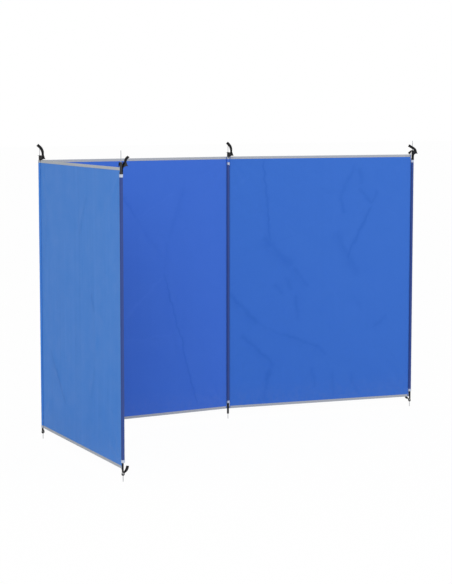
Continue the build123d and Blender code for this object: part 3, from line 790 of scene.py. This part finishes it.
def rowAlong(bayName, x, z, lift):  # stitch centres, headings and normals for one row on the sheet
    bay = bays[bayName]
    centre = clothPoint(bayName, x, z, lift)
    ahead = unit(np.gradient(centre, axis=0))
    outward = squareTo(ahead, np.tile([0.0, np.sign(lift), 0.0], (len(x), 1)))
    return place(centre, bay), ahead @ bay["turn"].T, outward @ bay["turn"].T


def stitchRows(name, bayName, rows):
    parts = [rowAlong(bayName, x, z, lift) for x, z, lift in rows]
    return makeStitches(name, *(np.concatenate(column) for column in zip(*parts)))


for bayName, bay in bays.items():
    endGap, hemGap, poleGap = thread["fromTapeEnd"], thread["fromHem"], thread["fromPole"]
    xs = np.arange(tape["inset"] + endGap, plan["pitch"] - tape["inset"] - endGap, thread["pitch"])
    zs = np.arange(plan["hem"] + hemGap, plan["head"] - hemGap, thread["pitch"])
    onTape, onCloth = tape["gap"] + tape["thickness"], cloth["thickness"] / 2
    tapeRows = [(xs, np.full_like(xs, z), side * onTape)
                for z in (plan["hem"] + tape["sewn"], plan["head"] - tape["sewn"]) for side in (-1, 1)]
    sideRows = [(np.full_like(zs, x), zs, side * onCloth)
                for x in (poleGap, plan["pitch"] - poleGap) for side in (-1, 1)]
    tapeSewing = dress(stitchRows(bayName + "_tape_stitches", bayName, tapeRows), greyThread, bay["body"], "grey_tape")
    sideSewing = dress(stitchRows(bayName + "_side_stitches", bayName, sideRows), blueThread, bay["body"], "blue_cloth")
print("sewing built")

# sleeves on the poles and the bands round their mouths

sleeve = {"inner": 0.0082, "outer": 0.00865, "trim": 0.0001, "mouth": 0.034, "rows": 260, "innerRows": 16,
          "around": 48, "sharp": 60, "wrinkle": 0.00016, "gatherPitch": 0.047, "gatherWind": 2, "swellPitch": 0.39,
          "swellShare": 0.45, "phaseStep": 1.7}
# cloth that runs on past the sleeve mouths, round the outside of the poles: start and sweep in degrees
bridges = {"foot": {"left_end": (-5.0, 110.0), "corner": (0.0, 262.0), "inner": (-25.0, 205.0),
                    "right_end": (75.0, 110.0)},
           "head": {"corner": (0.0, 228.0), "inner": (-18.0, 198.0)}}
# taped part of each mouth, and the part of the sleeve that is the bays' own cloth
mouths = {"left_end": (0.0, 360.0), "corner": (-98.0, 98.0), "inner": (-140.0, 65.0), "right_end": (0.0, 360.0)}
outsides = {"corner": (0.0, 262.0), "inner": (-8.0, 186.0)}
# cloth that closes over the tab at the head of the two inner poles: start and sweep, radii
hood = {"corner": (228.0, 132.0), "inner": (180.0, 162.0), "walls": (0.00995, 0.01015)}
# finishes of a sleeve are 0 slate, 1 outer cloth and 2 inner cloth; this one is for the outside of the hood
outerFace = {"corner": 1, "inner": 2}


# tube of cloth: the radius is the outer one plus rings of fine gathers, a sine up the pole whose phase winds round it,
# swollen by a slow second sine; the inner wall follows the same rows at its own plain radius
def makeSleeve(poleName, pole, phase):
    z = np.linspace(plan["hem"] + sleeve["mouth"], plan["head"] - sleeve["mouth"], sleeve["rows"])[:, None]
    a = np.radians(np.linspace(0, 360, sleeve["around"], endpoint=False))[None, :]
    slow = np.sin(2 * np.pi * z / sleeve["swellPitch"] + phase + a)
    gather = np.sin(2 * np.pi * z / sleeve["gatherPitch"] + sleeve["gatherWind"] * np.sin(a + phase))
    gather = gather * (1 - sleeve["swellShare"] + sleeve["swellShare"] * slow)
    outer = sleeve["outer"] - sleeve["trim"] + sleeve["wrinkle"] * gather
    backZ = np.linspace(z[-1, 0], z[0, 0], sleeve["innerRows"])[:, None]
    radius = np.concatenate([outer, sleeve["inner"] + 0 * backZ * a])
    height = np.concatenate([z, backZ])
    turns = np.radians(np.linspace(0, 360, sleeve["around"] + 1)) * sleeve["outer"]
    uv = uvGrid(turns, np.concatenate([height, height[:1]]))
    points = place(roundPole(radius, a, height), pole)
    return closedSurface(poleName + "_sleeveCloth", points, uv, True, sleeve["sharp"])


shell = {"around": 41, "rows": 12, "sharp": 50, "wave": 0.00006, "wavePitch": 0.023, "waveTurns": 3,
         "walls": (sleeve["inner"], sleeve["outer"] - sleeve["trim"])}


# part of a tube: out along one arc and back along the inner one, carried up the pole, with a slow sine in the radius
def makeShell(name, pole, start, sweep, lowZ, highZ, walls=shell["walls"]):
    a = np.radians(np.linspace(start, start + sweep, shell["around"]))
    angle = np.concatenate([a, a[::-1]])[None, :]
    z = np.linspace(lowZ, highZ, shell["rows"])[:, None]
    wall = np.repeat(walls[::-1], shell["around"])[None, :]
    radius = wall + shell["wave"] * np.sin(2 * np.pi * z / shell["wavePitch"] + shell["waveTurns"] * angle)
    around = np.concatenate([angle[0], angle[0, :1] + np.radians(sweep) * 2]) * sleeve["outer"]
    return closedSurface(name, place(roundPole(radius, angle, z), pole), uvGrid(around, z), sharp=shell["sharp"])


band = {"inner": 0.00888, "outer": 0.0098, "height": 0.015, "around": 64, "section": 36, "cornerPower": 0.35,
        "sharp": 60, "pucker": 0.00006, "puckers": 16}


def softSign(wave):  # a wave raised to the corner power with its sign kept, which squares the section off
    return np.sign(wave) * np.abs(wave) ** band["cornerPower"]


# ring of tape, or part of one: a superellipse section turned about the pole, its outside puckered by a short sine
# round the pole
def makeBand(name, pole, lowZ, start, sweep):
    whole = sweep == 360.0
    a = np.radians(np.linspace(start, start + sweep, band["around"], endpoint=not whole))[:, None]
    b = np.radians(np.linspace(0, 360, band["section"], endpoint=False))[None, :]
    outX, outZ = softSign(np.cos(b)), softSign(np.sin(b))
    middle, half = (band["inner"] + band["outer"]) / 2, (band["outer"] - band["inner"]) / 2
    radius = middle + half * outX + band["pucker"] * np.sin(band["puckers"] * a) * (outX > 0.5)
    height = lowZ + band["height"] / 2 * (1 + outZ)
    turns = np.radians(np.linspace(start, start + sweep, band["around"] + 1)) * band["outer"]
    uv = uvGrid(np.linspace(0, 2 * band["height"], band["section"] + 1), turns)
    return closedSurface(name, place(roundPole(radius, a, height), pole), uv, whole, band["sharp"])


bridge = {"around": 49, "clear": 0.00003}


# the same folded outline as on the straight edges, turned about the pole
def makeBridgeTape(name, pole, start, sweep, edge):
    inner = (sleeve["outer"] - sleeve["inner"]) / 2 + bridge["clear"]
    down, side, around = foldedOutline(inner + tape["thickness"], inner)
    a = np.radians(np.linspace(start, start + sweep, bridge["around"]))[:, None]
    radius = (sleeve["outer"] + sleeve["inner"]) / 2 + side[None, :]
    z = plan["hem"] + down if edge == "foot" else plan["head"] - down
    uv = uvGrid(around, a * sleeve["outer"])
    return closedSurface(name, place(roundPole(radius, a, z[None, :]), pole), uv, sharp=tape["sharp"])


# faces within the arc, by their angle about the pole, and those past the mouths get the bays' own cloth
def paintOutside(piece, pole, arc, hoodFace):
    local = (faceValues(piece, "center") - pole["foot"]) @ pole["turn"]
    facing = faceValues(piece, "normal") @ pole["turn"]
    angle = (np.degrees(np.arctan2(local[:, 1], local[:, 0])) - arc[0]) % 360
    outward = (local[:, :2] * facing[:, :2]).sum(axis=1) > 0
    pastMouth = fromEdge(local[:, 2]) < sleeve["mouth"]
    index = np.where((angle < arc[1]) | pastMouth, np.where(outward, 1, 2), 0)
    index = np.where(outward & (np.hypot(local[:, 0], local[:, 1]) > hood["walls"][0]), hoodFace, index)
    piece.data.polygons.foreach_set("material_index", index.astype(np.int32))


sleeves, bands = {}, {}
mouthLevels = {"foot": plan["hem"] + sleeve["mouth"], "head": plan["head"] - sleeve["mouth"]}
for number, (poleName, pole) in enumerate(poles.items()):
    body, arc = pole["body"], mouths[poleName]
    cloths = [makeSleeve(poleName, pole, sleeve["phaseStep"] * number)]
    edgings = []
    for end, edgeZ in (("foot", clothLow), ("head", clothHigh)):
        if poleName in bridges[end]:
            start, sweep = bridges[end][poleName]
            cloths.append(makeShell(poleName + "_shell_" + end, pole, start, sweep, edgeZ, mouthLevels[end]))
            edgings.append(makeBridgeTape(poleName + "_bridgeTape_" + end, pole, start, sweep, end))
    if poleName in hood:
        edgeZ, walls = plan["head"] - tape["depth"], hood["walls"]
        cloths.append(makeShell(poleName + "_hood", pole, *hood[poleName], mouthLevels["head"], edgeZ, walls))
        edgings.append(makeShell(poleName + "_hoodTape", pole, *hood[poleName], edgeZ, clothHigh, walls))
    rings = joinPieces(makeBand(poleName + "_mouthBands", pole, mouthLevels["foot"], *arc),
                       makeBand(poleName + "_bandHead", pole, mouthLevels["head"] - band["height"], *arc))
    sleeves[poleName] = dress(joinPieces(*cloths), slateCloth, body, "slate_cloth", poleName + "_sleeve")
    for other in (blueOutside, blueInside):
        sleeves[poleName].data.materials.append(other)
    paintOutside(sleeves[poleName], pole, outsides.get(poleName, (0.0, 0.0)), outerFace.get(poleName, 1))
    bands[poleName] = [dress(rings, paleBand, body, "grey_tape", poleName + "_mouth_tapes"),
                       dress(joinPieces(*edgings), innerTape if poleName == "inner" else greyTape, body, "grey_tape")]
print("sleeves and mouth bands built")

# webbing of the tensioners

web = {"width": 0.016, "thickness": 0.0016, "across": 11, "heading": -75.0, "reach": 0.0219, "bend": 0.004,
       "turn": 0.0024, "overhang": 0.009, "barRise": 0.0125, "rows": (12, 10, 8, 14, 12), "curlRows": 40}
# loose end of each strap: start above the cloth, rise, sweep outward and sideways, twist in degrees, and the shares of
# the rise where it stands and leans
tails = {"left_end": (0.028, 0.025, 0.019, -0.002, 40.0, 0.4, 0.8),
         "corner": (0.034, 0.051, -0.021, -0.021, -45.0, 0.55, 0.75),
         "inner": (0.034, 0.049, -0.018, -0.018, -45.0, 0.55, 0.75),
         "right_end": (0.028, 0.028, -0.022, -0.036, -35.0, 0.1, 0.6)}
# leg sewn to the cloth corner of the two end bays
leg = {"start": 0.0063, "crest": 0.009, "end": 0.024, "endRise": 0.0045, "twist": 70.0, "twistPower": 4, "rows": 30,
       "headings": {"left_end": 0.0, "right_end": 180.0}}


def bezier(p0, p1, p2, p3, count):  # cubic curve: the four points weighted by the terms of ((1 - w) + w) cubed
    w = np.linspace(0, 1, count)[:, None]
    p0, p1, p2, p3 = (np.array(p, float) for p in (p0, p1, p2, p3))
    return (1 - w) ** 3 * p0 + 3 * (1 - w) ** 2 * w * p1 + 3 * (1 - w) * w ** 2 * p2 + w ** 3 * p3


def easedTwist(twist, count):  # most of the turn comes near the start: share times two less the share
    share = np.linspace(0, 1, count)
    return twist * share * (2 - share)


# flat webbing along a path: its width lies along Y, turned about the upright axis by the twist and kept square to the
# path; width and thickness are one number each or one for every row
def ribbon(name, path, twist, size, heading, pole):
    angle = np.radians(twist)
    ahead = unit(np.gradient(path, axis=0))
    wide = squareTo(ahead, np.stack([-np.sin(angle), np.cos(angle), 0 * angle], axis=1))
    widths = np.broadcast_to(size["width"], len(path))
    share = np.multiply.outer(widths, np.linspace(-0.5, 0.5, size["across"]))
    middle = (path[:, None] + wide[:, None] * share[:, :, None]) @ turnZ(heading).T
    return thickBand(name, place(middle, pole), size["thickness"], runLength(path), share[0] - share[0, 0])


# centre line: over the pin, round a quarter turn, down to the bar, half a turn under it, up, and a cubic for the
# loose end; the leg is a cubic from the pin to the cloth
def makeTopStrap(poleName, pole):
    tailRise, lift, out, side, twist, stand, lean = tails[poleName]
    lay, bar, tailZ = plan["shoulder"] + web["thickness"] / 2, plan["head"] + web["barRise"], plan["head"] + tailRise
    reach, rise = web["reach"], web["reach"] + 2 * web["turn"]
    bendX, bendZ = reach - web["bend"], lay - web["bend"]
    lieRows, bendRows, downRows, turnRows, upRows = web["rows"]
    straightPart = np.concatenate([
        straight((-web["overhang"], 0, lay), (bendX, 0, lay), lieRows),
        arcXZ((bendX, bendZ), web["bend"], 90, 0, bendRows),
        straight((reach, 0, bendZ), (reach, 0, bar), downRows),
        arcXZ((reach + web["turn"], bar), web["turn"], 180, 360, turnRows),
        straight((rise, 0, bar), (rise, 0, tailZ), upRows),
    ])
    curl = bezier((rise, 0, tailZ), (rise, 0, tailZ + stand * lift), (rise + out / 2, side / 2, tailZ + lean * lift),
                  (rise + out, side, tailZ + lift), web["curlRows"])
    turning = np.concatenate([np.zeros(len(straightPart)), easedTwist(twist, web["curlRows"])])
    strap = ribbon(poleName + "_topWebbing", np.concatenate([straightPart, curl]), turning, web, web["heading"], pole)
    if poleName not in leg["headings"]:
        return strap
    crest = (leg["crest"], 0, plan["shoulder"])
    clothEnd = (leg["end"], 0, plan["head"] + leg["endRise"])
    down = bezier((leg["start"], 0, plan["shoulder"]), crest, crest, clothEnd, leg["rows"])
    # the leg turns flat only near the cloth
    lateTwist = leg["twist"] * np.linspace(0, 1, leg["rows"]) ** leg["twistPower"]
    return joinPieces(strap, ribbon(poleName + "_leg", down, lateTwist, web, leg["headings"][poleName], pole))


tab = {"inner": 0.0083, "barRise": 0.005, "flatStart": 0.0005, "returnEnd": 0.0005, "lowBlend": 0.012, "cupRows": 26,
       "flatRows": 5, "foldRows": 14}


# the tab is cupped round the pole below and flat above: across the width a point lies on the arc (angle = distance /
# radius) at the bottom and on the straight line at the top, mixed by a smooth step of the height; then it folds over
# the bar
def makeTab(poleName, pole):
    radius = tab["inner"] + web["thickness"] / 2
    bottom, flatZ = plan["head"] - sleeve["mouth"], plan["head"] + tab["flatStart"]
    barZ, endZ, back = plan["head"] + tab["barRise"], plan["head"] + tab["returnEnd"], radius + 2 * web["turn"]
    rows = np.concatenate([
        straight((radius, 0, bottom), (radius, 0, flatZ), tab["cupRows"]),
        straight((radius, 0, flatZ), (radius, 0, barZ), tab["flatRows"]),
        arcXZ((radius + web["turn"], barZ), web["turn"], 180, 0, tab["foldRows"]),
        straight((back, 0, barZ), (back, 0, endZ), tab["flatRows"]),
        [[back, 0, endZ]],
    ])
    flatShare = np.clip((rows[:, 2] - flatZ + tab["lowBlend"]) / tab["lowBlend"], 0, 1)
    flatShare[tab["cupRows"] + tab["flatRows"]:] = 1
    flatShare = smooth(flatShare)[:, None]
    across = np.linspace(-0.5, 0.5, web["across"]) * web["width"]
    angle = across / radius
    x = (1 - flatShare) * radius * np.cos(angle) + flatShare * rows[:, :1]
    y = (1 - flatShare) * radius * np.sin(angle) + flatShare * across
    middle = place(np.stack([x, y, rows[:, 2:] + 0 * x], axis=2) @ turnZ(web["heading"]).T, pole)
    return thickBand(poleName + "_tabWebbing", middle, web["thickness"], runLength(rows), across - across[0])


foot = {"width": 0.0125, "tailWidth": 0.0148, "widenRows": 20, "thickness": 0.0024, "doubled": 0.0044, "across": 11,
        "strand": 0.0049, "loop": 0.0058, "neck": 0.009, "top": 0.053, "returnDrop": 0.011, "strandRows": 24,
        "neckRows": 12, "loopRows": 18, "returnRows": 4}
footHeadings = {"left_end": 65.0, "corner": 140.0, "inner": 60.0, "right_end": -20.0}
# loose end at the two end poles; it starts to turn on the way up from the loop
flare = {"rises": {"left_end": 0.043, "right_end": 0.026}, "reach": 0.0175, "swing": 0.25, "standShare": 0.08,
         "leanShare": 0.55, "rows": 34, "twist": 80.0, "twistRows": 45}


# stirrup: down inside the sleeve, out to a wider loop by a cubic, half a turn under the stem, and in and up again;
# on the end poles another cubic then leans the end away. The webbing is doubled round the loop, and the thickness
# eases in and out of it in straight steps
def makeFootStrap(poleName, pole):
    low, r, wide = plan["loop"], foot["strand"], foot["loop"]
    neckZ, ease, rows = low + foot["neck"], foot["neck"] / 3, foot["neckRows"]
    loop = [straight((r, 0, plan["hem"] + foot["top"]), (r, 0, neckZ), foot["strandRows"]),
            bezier((r, 0, neckZ), (r, 0, neckZ - ease), (wide, 0, low + ease), (wide, 0, low), rows)[:-1],
            arcXZ((0, low), wide, 0, -180, foot["loopRows"]),
            bezier((-wide, 0, low), (-wide, 0, low + ease), (-r, 0, neckZ - ease), (-r, 0, neckZ), rows)[:-1]]
    easings = np.cumsum([len(part) for part in loop])
    if poleName in flare["rises"]:
        rise, far = flare["rises"][poleName], -r - flare["reach"]
        last = bezier((-r, 0, neckZ), (-r - flare["swing"] * flare["reach"], 0, neckZ + flare["standShare"] * rise),
                      (far, 0, low + flare["leanShare"] * rise), (far, 0, low + rise), flare["rows"])
        turning = easedTwist(flare["twist"], flare["twistRows"])
    else:
        end = (-r, 0, plan["hem"] - foot["returnDrop"])
        loop.append(straight((-r, 0, neckZ), end, foot["returnRows"]))
        last, turning = np.array([end]), np.zeros(1)
    start = np.concatenate(loop)
    path = np.concatenate([start, last])
    row = np.arange(len(path))
    thin, thick = foot["thickness"], foot["doubled"]
    size = {"width": np.interp(row, (len(start), len(start) + foot["widenRows"]), (foot["width"], foot["tailWidth"])),
            "across": foot["across"], "thickness": np.interp(row, easings, (thin, thick, thick, thin))}
    twist = np.concatenate([np.zeros(len(path) - len(turning)), turning])
    return ribbon(poleName + "_footWebbing", path, twist, size, footHeadings[poleName], pole)


for poleName, pole in poles.items():
    for make, nodeName in ((makeTopStrap, "_top_strap"), (makeTab, "_tab"), (makeFootStrap, "_foot_strap")):
        dress(make(poleName, pole), blackWebbing, pole["body"], "black_webbing", poleName + nodeName)
print("webbing built")

# solids that stay as they are take their finish here

solidFinish = {"pins": zincSteel, "tube": zincSteel, "eyelet": zincSteel, "eyelets": zincSteel, "plugs": plugPlastic,
               "buckle": bucklePlastic}
for nodeName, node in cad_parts.items():
    kind = nodeName.rsplit("_", 1)[1]
    if kind in solidFinish:
        for held in node.material_slots:
            held.material = solidFinish[kind]

for bayName, bay in bays.items():
    size = (plan["pitch"] - 2 * cloth["sideInset"], clothHeight)
for poleName in poles:
    size = (2 * math.pi * sleeve["outer"], plan["head"] - plan["hem"] - 2 * sleeve["mouth"])

# floor, light and camera

stageLook = {"floorSide": 60.0, "floorDrop": 0.0005, "floor": 0.86, "white": 0.975, "world": 0.70}
# place, aim, side in metres and power of each light
lights = {"keyLight": ((-4.2, -7.6, 5.0), (0.6, -0.4, 0.8), 4.5, 330.0),
          "fillLight": ((5.5, -6.5, 3.0), (1.0, -0.3, 0.8), 4.0, 135.0)}
cameraLook = {"eye": (-3.8971, -8.7212, 1.8983), "yaw": 30.335, "pitch": 6.363, "lens": 104.44, "sensor": 36.0,
              "far": 200.0}


def seenMask(tree):  # one for what the camera sees, directly or by a mirror or through glass, else nothing
    rays = tree.nodes.new("ShaderNodeLightPath").outputs
    bounced = math2(tree, "MAXIMUM", rays["Is Glossy Ray"], rays["Is Transmission Ray"])
    return math2(tree, "MAXIMUM", rays["Is Camera Ray"], bounced)


def makeFloor():
    mesh = bpy.data.meshes.new("floor")
    side = stageLook["floorSide"]
    mesh.from_pydata([(-side, -side, 0), (side, -side, 0), (side, side, 0), (-side, side, 0)], [], [(0, 1, 2, 3)])
    floor = inScene(bpy.data.objects.new("floor", mesh))
    floor.location.z = -stageLook["floorDrop"]
    material = bpy.data.materials.new("paleFloor")
    material.use_nodes = True
    tree = material.node_tree
    tree.nodes.clear()
    out, mix = tree.nodes.new("ShaderNodeOutputMaterial"), tree.nodes.new("ShaderNodeMixShader")
    matte, glow = tree.nodes.new("ShaderNodeBsdfDiffuse"), tree.nodes.new("ShaderNodeEmission")
    matte.inputs["Color"].default_value = (stageLook["floor"],) * 3 + (1.0,)
    tree.links.new(math2(tree, "MULTIPLY", seenMask(tree), stageLook["white"]), mix.inputs[0])
    tree.links.new(matte.outputs[0], mix.inputs[1])
    tree.links.new(glow.outputs[0], mix.inputs[2])
    tree.links.new(mix.outputs[0], out.inputs[0])
    mesh.materials.append(material)


def makeWorld():
    world = bpy.data.worlds.new("softWorld")
    bpy.context.scene.world = world
    world.use_nodes = True
    tree = world.node_tree
    back = tree.nodes["Background"]
    back.inputs["Color"].default_value = (1.0, 1.0, 1.0, 1.0)
    strength = scaled(tree, seenMask(tree), 1 - stageLook["world"], stageLook["world"])
    tree.links.new(strength, back.inputs["Strength"])


def aim(thing, where, target):  # point an object's -Z at the target
    thing.location = where
    thing.rotation_euler = (Vector(target) - Vector(where)).to_track_quat("-Z", "Y").to_euler()


def makeLight(name, where, target, size, power):
    data = bpy.data.lights.new(name, "AREA")
    data.shape, data.size, data.energy = "SQUARE", size, power
    aim(inScene(bpy.data.objects.new(name, data)), where, target)


def makeCamera():
    eye, yaw, pitch = cameraLook["eye"], math.radians(cameraLook["yaw"]), math.radians(cameraLook["pitch"])
    data = bpy.data.cameras.new("camera")
    data.lens, data.sensor_width, data.clip_end = cameraLook["lens"], cameraLook["sensor"], cameraLook["far"]
    camera = inScene(bpy.data.objects.new("camera", data))
    ahead = (math.sin(yaw) * math.cos(pitch), math.cos(yaw) * math.cos(pitch), -math.sin(pitch))
    aim(camera, eye, tuple(np.array(eye) + np.array(ahead)))
    bpy.context.scene.camera = camera


makeFloor()
makeWorld()
for name, settings in lights.items():
    makeLight(name, *settings)
makeCamera()
bpy.context.scene.view_settings.view_transform = "Standard"
print("stage set")
